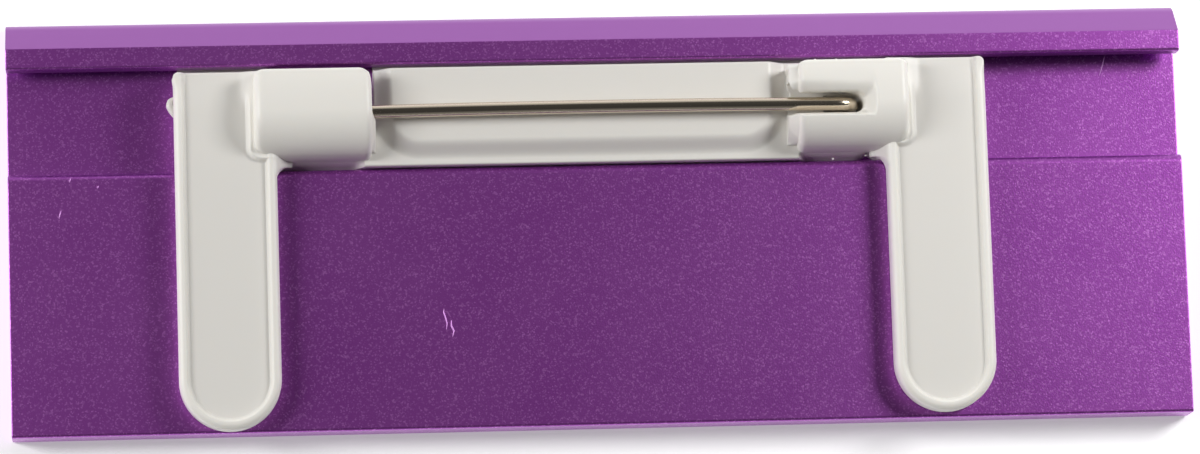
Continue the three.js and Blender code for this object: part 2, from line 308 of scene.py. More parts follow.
class Skin:
    """Collects grids and caps of points in millimetres, and makes one closed mesh of them."""

    def __init__(self):
        self.points = []
        self.quads = []
        self.caps = []
        self.count = 0

    def add_points(self, points):
        start = self.count
        flat = np.asarray(points, float).reshape(-1, 3)
        self.points.append(flat)
        self.count += len(flat)
        return start

    def grid(self, points, wrap=False):
        """Quads between the neighbours of a grid. With wrap the last column meets the first."""
        rows, columns = points.shape[:2]
        start = self.add_points(points)
        a, b = np.meshgrid(np.arange(rows - 1), np.arange(columns - (not wrap)), indexing="ij")
        after = (b + 1) % columns
        corners = [a * columns + b, (a + 1) * columns + b, (a + 1) * columns + after, a * columns + after]
        self.quads.append(start + np.stack(corners, -1).reshape(-1, 4))
        return self

    def faces(self, points, quads):
        """Quads given by their corner numbers in points."""
        self.quads.append(self.add_points(points) + quads)
        return self

    def cap(self, loop):
        """One flat face on a closed loop of points."""
        start = self.add_points(loop)
        self.caps.append(np.arange(start, start + len(loop)))
        return self

    def include(self, other):
        """Adds all that another skin holds."""
        start = self.count
        for points in other.points:
            self.add_points(points)
        self.quads += [start + quads for quads in other.quads]
        self.caps += [start + cap for cap in other.caps]

    def mesh(self, name):
        """Merges equal points, leaves out faces that this closes up, and turns all faces outwards."""
        points = np.concatenate(self.points)
        cells = np.round(points / WELD).astype(np.int64)
        _, first, merged = np.unique(cells, axis=0, return_index=True, return_inverse=True)
        merged = merged.reshape(-1)
        corners, sizes = [], []
        if self.quads:
            quads = merged[np.concatenate(self.quads)]
            keep = quads != np.roll(quads, -1, axis=1)
            folded = (quads[:, 0] == quads[:, 2]) | (quads[:, 1] == quads[:, 3])
            whole = (keep.sum(1) > 2) & ~folded
            corners.append(quads[whole][keep[whole]])
            sizes.append(keep[whole].sum(1))
        for cap in self.caps:
            loop = merged[cap]
            loop = loop[loop != np.roll(loop, -1)]
            corners.append(loop)
            sizes.append(np.array([len(loop)]))
        corners, sizes = np.concatenate(corners), np.concatenate(sizes)
        used, corners = np.unique(corners, return_inverse=True)
        corners = corners.reshape(-1)
        mesh = bpy.data.meshes.new(name)
        mesh.vertices.add(len(used))
        mesh.vertices.foreach_set("co", (points[first[used]] * MILLIMETRE).astype(np.float32).ravel())
        mesh.loops.add(len(corners))
        mesh.loops.foreach_set("vertex_index", corners.astype(np.int32))
        mesh.polygons.add(len(sizes))
        mesh.polygons.foreach_set("loop_start", (np.cumsum(sizes) - sizes).astype(np.int32))
        mesh.update(calc_edges=True)
        mesh.validate()
        outwards = bmesh.new()
        outwards.from_mesh(mesh)
        bmesh.ops.recalc_face_normals(outwards, faces=outwards.faces)
        if outwards.calc_volume(signed=True) < 0:
            bmesh.ops.reverse_faces(outwards, faces=outwards.faces)
        outwards.to_mesh(mesh)
        outwards.free()
        return mesh


def put_in_scene(skin, name):
    """A piece with the skin's mesh, and its name on both."""
    piece = bpy.data.objects.new(name, skin.mesh(name))
    bpy.context.scene.collection.objects.link(piece)
    return piece


def shade(piece, angle=SHARP_ANGLE):
    """Smooth shading, broken where faces meet at more than the angle."""
    mesh = piece.data
    mesh.polygons.foreach_set("use_smooth", np.ones(len(mesh.polygons), bool))
    mesh.set_sharp_from_angle(angle=angle)
    mesh.update()
    return piece


def dress(piece, material, body, node):
    """Gives a finished piece its material and its body, and hides the CAD node that it stands for."""
    piece.data.materials.clear()
    piece.data.materials.append(material)
    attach(piece, body)
    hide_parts(node)


def dress_as_fitting(*pieces):
    """Gives pieces of the moulding their plastic and body, and hides the fitting's CAD node."""
    plastic = finish_named("moulded plastic", moulded_plastic)
    for piece in pieces:
        dress(piece, plastic, "badge", "pin_fitting")


def subtract(piece, cutter):
    """Cuts the closed cutter out of the piece, and removes the cutter."""
    cut = piece.modifiers.new("cut", "BOOLEAN")
    cut.operation = "DIFFERENCE"
    cut.solver = "EXACT"
    cut.object = cutter
    bpy.context.view_layer.update()
    evaluated = piece.evaluated_get(bpy.context.evaluated_depsgraph_get())
    result = bpy.data.meshes.new_from_object(evaluated)
    if not result.polygons:
        raise RuntimeError(f"{piece.name}: the cut left nothing")
    piece.modifiers.clear()
    close_seams(result)
    piece.data = result
    bpy.data.objects.remove(cutter)


def close_seams(mesh):
    """Merges points that lie a few micrometres apart, and fills what a cut left open along its seams."""
    seams = bmesh.new()
    seams.from_mesh(mesh)
    near = SEAM * MILLIMETRE
    bmesh.ops.remove_doubles(seams, verts=seams.verts, dist=near)
    bmesh.ops.dissolve_degenerate(seams, dist=near, edges=seams.edges)
    bmesh.ops.holes_fill(seams, edges=[edge for edge in seams.edges if edge.is_boundary])
    loose = [vertex for vertex in seams.verts if not vertex.link_faces]
    bmesh.ops.delete(seams, geom=loose, context="VERTS")
    bmesh.ops.recalc_face_normals(seams, faces=seams.faces)
    if seams.calc_volume(signed=True) < 0:
        bmesh.ops.reverse_faces(seams, faces=seams.faces)
    seams.to_mesh(mesh)
    seams.free()


# Finishes


def add_node(tree, kind, inputs=None, **settings):
    """Adds a shader node with its settings. Each input is a value, or an output that is linked to it."""
    node = tree.nodes.new("ShaderNode" + kind)
    for key, value in settings.items():
        setattr(node, key, value)
    for key, value in (inputs or {}).items():
        if isinstance(value, bpy.types.NodeSocket):
            tree.links.new(value, node.inputs[key])
        else:
            node.inputs[key].default_value = value
    return node


def new_material(name, shader_inputs):
    """A material with a Principled shader, its tree and its output."""
    material = bpy.data.materials.new(name)
    material.use_nodes = True
    tree = material.node_tree
    tree.nodes.clear()
    shader = add_node(tree, "BsdfPrincipled", shader_inputs)
    add_node(tree, "OutputMaterial", {"Surface": shader.outputs["BSDF"]})
    return material, tree, shader


def per_metre(millimetres):
    """A texture's scale for a feature of this real size."""
    return 1 / (millimetres * MILLIMETRE)


def give_relief(tree, shader, place, width, detail, strength, depth, mask=None):
    """Bumps of a width and a depth in millimetres, from noise over place, flat where the mask is 0."""
    noise = {"Vector": place, "Scale": per_metre(width), "Detail": detail}
    height = add_node(tree, "TexNoise", noise).outputs["Fac"]
    if mask is not None:
        height = add_node(tree, "Math", {0: height, 1: mask}, operation="MULTIPLY").outputs["Value"]
    bump = {"Strength": strength, "Distance": depth * MILLIMETRE, "Height": height}
    tree.links.new(add_node(tree, "Bump", bump).outputs["Normal"], shader.inputs["Normal"])


def anodised_aluminium():
    """Extruded aluminium, blasted with fine grit, then dyed and sealed.

    The blasting gives a satin face whose dimples catch the light one by one; these glints are painted into
    the colour, as scattered grains of a paler purple. The dye makes the metal's own reflection purple, with
    paler patches some millimetres wide, and the clear oxide over it adds a thin white one. The lip's bevel is
    cut after blasting, so it is smoother and has no painted grains; its colour is a painted reflection tone,
    a darker, greyer purple that stands in for how it reflects the floor.
    """
    finish = bpy.context.scene.name_badge.finish
    grain, patch = finish.grain / MILLIMETRE, 6
    material, tree, shader = new_material(
        "anodised aluminium",
        {"Metallic": 1.0, "Roughness": 0.42, "Coat Weight": 0.55, "Coat Roughness": 0.35, "Coat IOR": 1.5},
    )
    place = add_node(tree, "TexCoord").outputs["Object"]
    across = add_node(tree, "SeparateXYZ", {"Vector": place}).outputs["Y"]
    below_bevel = {0: across, 1: plate_lines().lip_top * MILLIMETRE}
    blasted = add_node(tree, "Math", below_bevel, operation="LESS_THAN").outputs["Value"]
    # Painted glints: a few random cells of the grain are painted a paler purple, standing in for dimples that
    # catch the light.
    cells = add_node(tree, "TexVoronoi", {"Vector": place, "Scale": per_metre(grain)})
    chance = add_node(tree, "SeparateColor", {"Color": cells.outputs["Color"]}).outputs["Red"]
    few = {"Value": chance, "From Min": 0.72, "From Max": 1.0, "To Min": 0.0, "To Max": 0.75}
    glint = add_node(tree, "MapRange", few).outputs["Result"]
    glint = add_node(tree, "Math", {0: glint, 1: blasted}, operation="MULTIPLY").outputs["Value"]
    noise = {"Vector": place, "Scale": per_metre(patch), "Detail": 3.0}
    patches = add_node(tree, "TexNoise", noise).outputs["Fac"]
    faint = {"Value": patches, "From Min": 0.3, "From Max": 0.7, "To Min": 0.0, "To Max": 0.12}
    patches = add_node(tree, "MapRange", faint).outputs["Result"]
    # pale is the painted glints plus the real paler patches of the dye.
    both = {0: glint, 1: patches}
    pale = add_node(tree, "Math", both, operation="ADD", use_clamp=True).outputs["Value"]
    # dyed holds the dye's colour with the painted glints mixed in.
    dyed = {"Factor": pale, "A": tuple(finish.anodised), "B": tuple(finish.painted_glint_and_patch_colour)}
    dyed = add_node(tree, "Mix", dyed, data_type="RGBA").outputs["Result"]
    # Painted reflection tone on the bevel: its own darker, greyer purple in place of the dyed colour.
    base = {"Factor": blasted, "A": tuple(finish.painted_bevel_tone), "B": dyed}
    base = add_node(tree, "Mix", base, data_type="RGBA").outputs["Result"]
    tree.links.new(base, shader.inputs["Base Color"])
    give_relief(tree, shader, place, grain, 1.0, 0.5, 0.02, blasted)
    return material


def moulded_plastic():
    """Injection moulded ABS-like plastic from a fine spark-eroded mould.

    It is warm pale grey and softly glossy, and light goes a little way into it, which softens its shadows.
    Its highest faces, the beads and the housings, are painted paler: a painted highlight that stands in for
    the light that they catch. The mould's texture is drawn 0.5 mm wide, coarser than the real one, so that it
    shows.
    """
    finish = bpy.context.scene.name_badge.finish
    highlight_from, highlight_above, texture = 3.8, 4.0, 0.5
    material, tree, shader = new_material(
        "moulded plastic",
        {
            "Roughness": 0.42,
            "IOR": 1.5,
            "Subsurface Weight": 0.12,
            "Subsurface Radius": (1.0, 0.85, 0.65),
            "Subsurface Scale": 0.4 * MILLIMETRE,
        },
    )
    place = add_node(tree, "TexCoord").outputs["Object"]
    height = add_node(tree, "SeparateXYZ", {"Vector": place}).outputs["Z"]
    # Painted highlight: the plastic is painted paler from 3.8 mm to 4 mm high, on the beads and housings,
    # standing in for the light that they catch.
    levels = {"Value": height, "From Min": highlight_from * MILLIMETRE, "From Max": highlight_above * MILLIMETRE}
    highlighted = add_node(tree, "MapRange", levels).outputs["Result"]
    base = {"Factor": highlighted, "A": tuple(finish.plastic), "B": tuple(finish.painted_highlight)}
    base = add_node(tree, "Mix", base, data_type="RGBA").outputs["Result"]
    tree.links.new(base, shader.inputs["Base Color"])
    give_relief(tree, shader, place, texture, 3.0, 0.12, 0.02)
    return material


def nickel_plated_wire():
    """Drawn spring steel wire with a bright nickel plate.

    Drawing leaves faint lines along the wire, so its reflections stay crisp across it and smear a little the
    long way. The lines are made 0.06 mm wide, coarser than the real ones, so that they show.
    """
    nickel = tuple(bpy.context.scene.name_badge.finish.nickel)
    shine = {"Base Color": nickel, "Metallic": 1.0, "Roughness": 0.2}
    material, tree, shader = new_material("nickel plated steel", shine)
    place = add_node(tree, "TexCoord").outputs["Object"]
    lengthwise = {"Vector": place, "Scale": (0.03, 1.0, 1.0)}
    drawn = add_node(tree, "Mapping", lengthwise).outputs["Vector"]
    give_relief(tree, shader, drawn, 0.06, 2.0, 0.15, 0.005)
    return material


def bare_aluminium():
    """Aluminium where a scratch has gone through the dyed oxide: bright, with torn edges."""
    bare = tuple(bpy.context.scene.name_badge.finish.bare)
    return new_material("bare aluminium", {"Base Color": bare, "Metallic": 0.4, "Roughness": 0.5})[0]


def finish_named(name, make):
    """The material of that name, made the first time that it is asked for."""
    return bpy.data.materials.get(name) or make()


# Plate


def with_supports(points, finest=0.04):
    """Adds a point just inside both ends of every long straight piece of a closed outline."""
    after = np.roll(points, -1, axis=0)
    gap = np.linalg.norm(after - points, axis=1, keepdims=True)
    step = (after - points) / np.maximum(gap, 1e-9) * finest
    rows = np.stack([points, points + step, after - step], 1)
    keep = np.stack([np.ones(len(points), bool), gap[:, 0] > 4 * finest, gap[:, 0] > 4 * finest], 1)
    return rows[keep]


def plate_section(size):
    """The extrusion's outline in Y and Z, anticlockwise from the bottom: straight faces joined by arcs."""
    edge, lip_edge, step_edge, far_edge, crease = 0.18, 0.2, 0.48, 1.5, 0.06
    crease_tangent = 0.0249
    bevel_foot = size.lip_height - (size.far - size.lip_top)
    tangent = far_edge * math.tan(math.pi / 8)
    faces = [
        arc((size.far - edge, edge), edge, -90, 0, 7),
        arc((size.far - far_edge, bevel_foot - tangent), far_edge, 0, 45, 12),
        arc((size.lip_top - crease_tangent, size.lip_height - crease), crease, 45, 90, 4),
        arc((size.mouth + lip_edge, size.lip_height - lip_edge), lip_edge, 90, 180, 10),
        [[size.mouth, size.hook_underside], [size.groove_end, size.hook_underside]],
        [[size.groove_end, size.channel_floor], [size.step, size.channel_floor]],
        arc((size.step - step_edge, size.thickness - step_edge), step_edge, 0, 90, 7),
        arc((size.bottom + edge, size.thickness - edge), edge, 90, 180, 8),
        arc((size.bottom + edge, edge), edge, 180, 270, 8),
    ]
    return with_supports(np.concatenate(faces))


def outline_normals(points):
    """Outward normals of an anticlockwise closed outline: its tangent turned by a quarter turn."""
    tangent = np.roll(points, -1, axis=0) - np.roll(points, 1, axis=0)
    normal = np.stack([tangent[:, 1], -tangent[:, 0]], 1)
    return normal / np.linalg.norm(normal, axis=1, keepdims=True)


def make_plate():
    """The plate: its outline carried along X, drawn in by a quarter circle at both ends."""
    size = plate_lines()
    outline = plate_section(size)
    normals = outline_normals(outline)
    support = 0.05
    turn = np.linspace(0, math.pi / 2, 5)
    inward = size.end_round * (1 - np.sin(turn))
    along = size.end_round * (1 - np.cos(turn))
    ends = -size.half_length + along
    x = np.concatenate([ends, [ends[-1] + support, -ends[-1] - support], -ends[::-1]])
    inset = np.concatenate([inward, [0, 0], inward[::-1]])
    rows = outline[None] - normals[None] * inset[:, None, None]
    points = np.concatenate([np.broadcast_to(x[:, None, None], (*rows.shape[:2], 1)), rows], -1)
    skin = Skin().grid(points, wrap=True).cap(points[0]).cap(points[-1])
    piece = shade(put_in_scene(skin, "plate_extrusion"), math.radians(25))
    aluminium = finish_named("anodised aluminium", anodised_aluminium)
    dress(piece, aluminium, "badge", "badge_plate")


# Fitting: legs, bar and pad


def shares(coarse, fine, split):
    """Shares between 0 and 1, ends left out: coarse steps up to split, then fine ones."""
    return np.concatenate([np.linspace(0, split, coarse, endpoint=False), np.linspace(split, 1, fine)])[1:-1]


def rounded_loops(low, high, radii, insets, arc_count, sides):
    """Nested rounded rectangles, one row per inset: arcs round the corners, joined at the sides' shares.

    A corner's centre stays put while its radius shrinks, and then moves inwards with the inset.
    """
    corners = (
        (low[0], low[1], 1, 1, 180),
        (high[0], low[1], -1, 1, 270),
        (high[0], high[1], -1, -1, 0),
        (low[0], high[1], 1, -1, 90),
    )
    arcs = []
    for (x, y, sign_x, sign_y, start), radius in zip(corners, radii):
        angle = np.radians(np.linspace(start, start + 90, arc_count))[None]
        reach = np.maximum(radius, insets)[:, None]
        shrunk = np.maximum(radius - insets, 0)[:, None]
        centre_x, centre_y = x + sign_x * reach, y + sign_y * reach
        arcs.append(np.stack([centre_x + shrunk * np.cos(angle), centre_y + shrunk * np.sin(angle)], -1))
    pieces = []
    for current, following, share in zip(arcs, arcs[1:] + arcs[:1], sides):
        t = share[None, :, None]
        pieces += [current, current[:, -1:] * (1 - t) + following[:, :1] * t]
    return np.concatenate(pieces, 1)


def leg_height(size, low, ring_low, x, y):
    """Height of a leg's top over its plan.

    A bead follows the leg's sides and round end, and falls to the panel on a smooth step. A ring follows the
    housing at a distance: it falls from its crest on a smooth step, with a shallow groove inside. Towards the
    lip the ring fades into one smooth ramp up to the housing, and the whole top falls a little.
    """
    corner, groove, groove_depth = 0.45, 0.1, 0.12
    ramp_share, ramp_start, ramp_end = 0.95, -0.1, 1.1
    blend, lip_fall = 0.25, 0.25
    to_ramp, to_lip = (6.6, 8.4), (7.2, 10.4)
    half = size.leg_width / 2
    middle = (size.inner + size.outer) / 2
    inward = half - np.hypot(x - middle, np.minimum(y - low - half, 0))
    bead = 1 - smooth_step(0.6 * size.bead_width, size.bead_width, inward)
    past_lip = size.bar_high + 8
    away = box_distance(x, y, (size.inner - 6, ring_low), (size.housing_outer, past_lip), corner)
    ring = 1 - smooth_step(0.4 * size.ring_reach, size.ring_reach, away)
    ring = ring - groove_depth * np.exp(-(((away - groove) / groove) ** 2))
    ramp = ramp_share * (1 - smooth_step(ramp_start, ramp_end, away))
    lipward = smooth_step(*to_ramp, y)
    ring = ring * (1 - lipward) + ramp * lipward
    fall = lip_fall * smooth_step(*to_lip, y)
    return size.panel_top + size.bead_height * smooth_max(bead, ring, blend) - fall


def make_leg(side, name):
    """One leg: nested rounded rectangles at the leg's height, with a rounded edge and a flat underside.

    The edge is less round at the lip end. Rows lie close together on the edge and over the bead, and further
    apart on the panel.
    """
    size = fitting_lines()
    half = size.leg_width / 2
    leg_low, leg_high = LEG_ENDS[side]
    edge, lip_sharpening, lip_corners, foot_chamfer, arc_count = 0.38, 0.25, (0.35, 0.2), 0.15, 40
    turn = edge * (1 - np.cos(np.linspace(0, math.pi / 2, 9)))
    insets = np.concatenate([turn, np.arange(0.42, 0.84, 0.03), np.arange(0.88, half, 0.06), [half]])
    plan = ((size.inner, leg_low), (size.outer, leg_high), (half, half, *lip_corners))
    up_the_side = shares(50, 190, 0.72)
    sides = (shares(2, 2, 0.5), up_the_side, shares(20, 40, 0.5), 1 - up_the_side[::-1])
    loops = rounded_loops(*plan, insets, arc_count, sides)
    x, y = loops[..., 0], loops[..., 1]
    radius = edge - lip_sharpening * smooth_step(leg_high - 1.2, leg_high - 0.35, y)
    drop = round_off(insets[:, None] * edge / radius, edge) * radius / edge
    upper = np.stack([x, y, leg_height(size, leg_low, RING_LOW[side], x, y) - drop], -1)
    under = rounded_loops(*plan, np.array([half, foot_chamfer, 0.04, 0.0]), arc_count, sides)
    levels = size.leg_underside + np.array([0, 0, 0.04, foot_chamfer])[:, None]
    lower = np.stack([under[..., 0], under[..., 1], np.broadcast_to(levels, under.shape[:2])], -1)
    points = np.concatenate([lower, upper])
    points[..., 0] = side * points[..., 0] + size.shift
    return shade(put_in_scene(Skin().grid(points, wrap=True), name), math.radians(50))


def make_root_web(side, name):
    """The web between leg and bar: a height falling from the bead to the ledge, on a curved edge."""
    size = fitting_lines()
    radius, into_leg, into_bar, sag, edge_drop = 0.8, 0.3, 0.35, 0.06, 0.1
    t = np.linspace(0, 1, 24)[:, None]
    s = np.linspace(0, 1, 14)[None, :]
    x = size.inner + into_leg - (radius + 0.5) * t
    past = np.clip(x - (size.inner - radius), 0, radius)
    edge = size.bar_low + 0.02 - (radius - np.sqrt(np.maximum(radius**2 - past**2, 0)))
    y = edge + (size.foot + into_bar - edge) * s
    fall = smooth_step(0.05, 1.0, t)
    top = size.leg_top - sag - (size.leg_top - size.ledge_top - 0.04) * fall - edge_drop * np.exp(-s / 0.06)
    top = np.broadcast_to(top, y.shape)
    x = np.broadcast_to(x, y.shape)
    upper = np.stack([x, y, top], -1)
    lower = np.stack([x, y, np.full(y.shape, size.leg_underside)], -1)
    points = np.concatenate([upper, lower[:, ::-1]], 1)
    points[..., 0] = side * points[..., 0] + size.shift
    skin = Skin().grid(points, wrap=True).cap(points[0]).cap(points[-1])
    return shade(put_in_scene(skin, name))


def bar_height(size, x, y):
    """Height of the bar's top: a ledge, and a pad that rises from it on a soft S-shaped slope.

    X is the fitting's own, left negative. Along its edges the top drops on a small quarter circle, and below
    each housing it falls steeply to the bar's low edge.
    """
    corner, low_edge, high_edge, slit_edge = 1.7, 0.14, 0.12, 0.08
    housing_fall, housing_slope, from_inner, to_outer = 1.2, 0.5, (13.8, 14.4), (18.9, 19.6)
    half = size.pad_end - size.pad_slope
    away = box_distance(x, y, (-half, size.foot + size.pad_slope), (half, size.bar_high + 20), corner)
    top = size.ledge_top + size.pad_height * (1 - smooth_step(0, size.pad_slope, away))
    top = top - round_off(y - size.bar_low, low_edge) - round_off(size.bar_high - y, high_edge)
    below_housing = smooth_step(*from_inner, np.abs(x)) * (1 - smooth_step(*to_outer, np.abs(x)))
    slope = 1 - smooth_step(size.bar_low, size.bar_low + housing_slope, y)
    top = top - housing_fall * below_housing * slope
    beside_slit = np.where(y > size.hollow_wall, x + size.pad_end, 1.0)
    return top - round_off(np.where(beside_slit >= -0.001, beside_slit, 1.0), slit_edge)


def make_bar():
    """Bar, pad and tongue: heights over lines in X and Y, open at the tip's hollow and the root's well."""
    size = fitting_lines()
    well_left, well_right, well_low, well_high = 13.9, 19.2, 4.3, 9.1
    tongue_top, tongue_gap = 1.65, 0.15
    nick_depth, nick_place, nick_half, nick_reach = 0.3, 18.35, 0.3, 0.6
    x = near_edges(-size.outer, size.outer, 0.3, [-size.hollow_end, -size.pad_end, well_left, well_right])
    slopes = np.arange(size.pad_end - 1.3, size.pad_end, 0.05)
    corners = np.arange(10.0, 11.6, 0.08)
    x = np.unique(np.round(np.concatenate([x, slopes, -slopes, corners, -corners]), 4))
    edges = [size.bar_low, size.bar_high, size.hollow_wall, well_low, well_high]
    y = near_edges(size.bar_low, size.bar_high, 0.07, edges, 0.2)
    y = np.concatenate([y, [size.bar_high, plate_lines().groove_end - tongue_gap]])
    grid_x, grid_y = np.meshgrid(x, y, indexing="ij")
    top = bar_height(size, grid_x, grid_y)
    top[:, -2:] = tongue_top
    middle_x, middle_y = np.meshgrid((x[1:] + x[:-1]) / 2, (y[1:] + y[:-1]) / 2, indexing="ij")
    hollow = (middle_x > -size.hollow_end) & (middle_x < -size.pad_end) & (middle_y > size.hollow_wall)
    well = (middle_x > well_left) & (middle_x < well_right) & (middle_y > well_low) & (middle_y < well_high)
    nick = nick_depth * np.exp(-(((grid_x - nick_place) / nick_half) ** 4))
    nick = nick * np.clip(1 - (grid_y - size.bar_low) / nick_reach, 0, 1)
    upper = np.stack([grid_x + size.shift, grid_y + nick, top], -1)
    lower = upper.copy()
    lower[..., 2] = size.bar_base
    return shade(put_in_scene(slab(upper, lower, ~(hollow | well)), "fitting_bar"))


def slab(upper, lower, solid):
    """A closed body between two grids, with a wall wherever a solid cell meets an empty one."""
    rows, columns = upper.shape[:2]
    number = np.arange(rows * columns).reshape(rows, columns)
    below = number + rows * columns
    i, j = np.nonzero(solid)
    quads = [
        np.stack([number[i, j], number[i + 1, j], number[i + 1, j + 1], number[i, j + 1]], -1),
        np.stack([below[i, j], below[i, j + 1], below[i + 1, j + 1], below[i + 1, j]], -1),
    ]
    padded = np.pad(solid, 1)
    for step_i, step_j, start, end in (
        (-1, 0, (0, 0), (0, 1)),
        (1, 0, (1, 1), (1, 0)),
        (0, -1, (1, 0), (0, 0)),
        (0, 1, (0, 1), (1, 1)),
    ):
        i, j = np.nonzero(solid & ~padded[1 + step_i : rows + step_i, 1 + step_j : columns + step_j])
        a = (i + start[0], j + start[1])
        b = (i + end[0], j + end[1])
        quads.append(np.stack([number[a], number[b], below[b], below[a]], -1))
    points = np.concatenate([upper.reshape(-1, 3), lower.reshape(-1, 3)])
    return Skin().faces(points, np.concatenate(quads))


# Fitting: housings


def housing_profile(size):
    """Both housings' outline in Y and Z, from foot to lip side, with its length and its outward normals.

    A quarter ellipse rises from the foot to the crest, and a flat parabola falls to a rounded roof edge.
    """
    edge, drop = 0.3, 0.3
    angle = np.linspace(math.pi, math.pi / 2, 60)
    across, rise = size.wire_line - size.foot, size.crest - size.ledge_top
    dome = np.stack([size.wire_line + across * np.cos(angle), size.ledge_top + rise * np.sin(angle)], 1)
    t = np.linspace(0, 1, 30)[1:, None]
    roof_edge = size.crest - drop
    crest = np.array([size.wire_line, size.crest])
    control = np.array([(size.wire_line + size.housing_high) / 2, size.crest])
    roof_end = np.array([size.housing_high - edge, roof_edge])
    roof = (1 - t) ** 2 * crest + 2 * t * (1 - t) * control + t**2 * roof_end
    corner = arc((size.housing_high - edge, roof_edge - edge), edge, 82, 0, 10)
    line = np.concatenate([dome, roof, corner])
    along = np.concatenate([[0], np.cumsum(np.linalg.norm(np.diff(line, axis=0), axis=1))])
    tangent = np.gradient(line, along, axis=0)
    normal = np.stack([-tangent[:, 1], tangent[:, 0]], 1)
    normal /= np.linalg.norm(normal, axis=1, keepdims=True)
    return line, along, normal


def make_housing(side, name, ends, slants, lip_corner, slot):
    """A housing: its profile carried along X over stations that turn down at both ends.

    Near an end the profile is drawn in along its normals on a quarter circle. Past the inner end the rows
    lean out by a slant over the chamfer's depth, one for the lines below the wire and one for those above it,
    and then go straight down to the base. Where there is a slot, the lines beside the wire part by the slot's
    half width, which at the slot's end follows a half circle, and a wall drops from them to its floor.
    """
    size = fitting_lines()
    line, along, normal = housing_profile(size)
    start, end = ends
    inner_round, outer_round = 0.45, size.housing_round
    bend, well_floor, outer_lean = 1.2, 1.45, 0.03
    foot_inset, roof_inset = 0.27, 0.3
    foot_corner, roof_corner = 0.9, 0.3
    half = size.wire_half + WIRE_PLAY
    slot_centre = size.root_x
    slot_end = slot_centre + half
    well_start = size.root_x - bend - half
    turn = np.linspace(0, math.pi / 2, 9)
    inner_e, outer_e = inner_round * (1 - np.cos(turn)), outer_round * (1 - np.cos(turn))
    if slot:
        round_end = slot_centre + half * np.sin(np.linspace(0, math.pi / 2, 16))
        body = np.concatenate(
            [
                np.arange(start + inner_round + 0.06, well_start, 0.07),
                [well_start, well_start],
                np.arange(well_start + 0.06, slot_centre, 0.06),
                round_end,
                [slot_end],
                slot_end + np.geomspace(0.01, 0.5, 9),
                np.arange(slot_end + 0.56, end - outer_round - 0.02, 0.06),
            ]
        )
    else:
        body = np.linspace(start + inner_round, end - outer_round, 70)[1:-1]
    x = np.concatenate([start + inner_e, body, (end - outer_e)[::-1]])
    inset = [round_off(inner_e, inner_round), np.zeros(len(body)), round_off(outer_e, outer_round)[::-1]]
    inset = np.concatenate(inset)[:, None]
    is_open = np.zeros(len(x), bool)
    width = np.zeros(len(x))
    floor_level = np.full(len(x), size.pad_top)
    if slot:
        width = np.sqrt(np.maximum(half**2 - np.maximum(x - slot_centre, 0) ** 2, 0))
        first_end = np.nonzero(np.isclose(x, slot_end))[0][0]
        is_open = np.arange(len(x)) <= first_end
        width = np.where(is_open, width, 0)
        second_start = np.nonzero(np.isclose(x, well_start))[0][1]
        floor_level = np.where(np.arange(len(x)) >= second_start, well_floor, size.pad_top)
    parts = graded(0, 1, 60, 0.004)
    low_q = np.interp(size.wire_line - width, line[:, 0], along)[:, None]
    high_q = np.interp(size.wire_line + width, line[:, 0], along)[:, None]
    q = np.concatenate([low_q * parts, high_q + (along[-1] - high_q) * parts], 1)
    y, z, normal_y, normal_z = (np.interp(q, along, column) for column in (*line.T, *normal.T))
    grid_x = np.broadcast_to(x[:, None], y.shape)
    if slot:
        z = recessed(size, grid_x, y, z, half, slot_centre)
    inset = np.minimum(inset, foot_inset + roof_inset * smooth_step(0.45, 0.9, along[-1] - q))
    y, z = y - normal_y * inset, z - normal_z * inset
    count = len(parts)
    floor = np.where(is_open[:, None], floor_level[:, None], z[:, count - 1 : count])
    low_edge, high_edge = y[:, count - 1 : count], y[:, count : count + 1]
    across = [y[:, :count], low_edge, (low_edge + high_edge) / 2, high_edge, y[:, count:]]
    y = np.concatenate([y[:, :1], *across, y[:, -1:]], 1)
    base = np.full((len(x), 1), size.housing_base)
    z = np.concatenate([base, z[:, :count], floor, floor, floor, z[:, count:], base], 1)
    share = ((x - start) / (end - start))[:, None]
    inner_cut = lip_corner[0] * round_off(size.housing_high - y, lip_corner[1]) / lip_corner[1]
    outer_cut = round_off(y - size.foot, foot_corner) + round_off(size.housing_high - y, roof_corner)
    points = np.stack([x[:, None] + (1 - share) * inner_cut - share * outer_cut, y, z], -1)
    drops = np.concatenate([np.linspace(0, 1, 8)[1:], np.linspace(1, 2, 4)[1:]])
    rows = []
    for edge_row, leans in ((points[0], True), (points[-1], False)):
        upper = smooth_step(size.wire_line - half, size.wire_line, edge_row[:, 1])
        above = np.maximum(edge_row[:, 2] - size.housing_base, 0)
        low_depth = np.clip(0.8 * (edge_row[:, 2] - size.ledge_top), 0.02, CHAMFER)
        high_depth = np.clip(edge_row[:, 2] - size.flank_foot, 0.02, CHAMFER)
        chamfer = np.minimum(low_depth + (high_depth - low_depth) * upper, above)
        high_slant = slants[1] * (0.4 + 0.6 * high_depth / CHAMFER)
        slant = slants[0] + (high_slant - slants[0]) * upper
        for drop in drops:
            down = edge_row.copy()
            lean = np.where(above > 0, min(drop, 1), drop / 2)
            down[:, 0] += lean * (-slant if leans else outer_lean)
            down[:, 2] -= chamfer * min(drop, 1) + (above - chamfer) * max(drop - 1, 0)
            rows.append(down)
    inner_rows, outer_rows = np.stack(rows[: len(drops)]), np.stack(rows[len(drops) :])
    points = np.concatenate([inner_rows[::-1], points, outer_rows])
    points[..., 0] = side * points[..., 0] + size.shift
    border = np.concatenate([points[:, 0], points[-1, 1:], points[-2::-1, -1], points[0, -2:0:-1]])
    return put_in_scene(Skin().grid(points).cap(border), name)


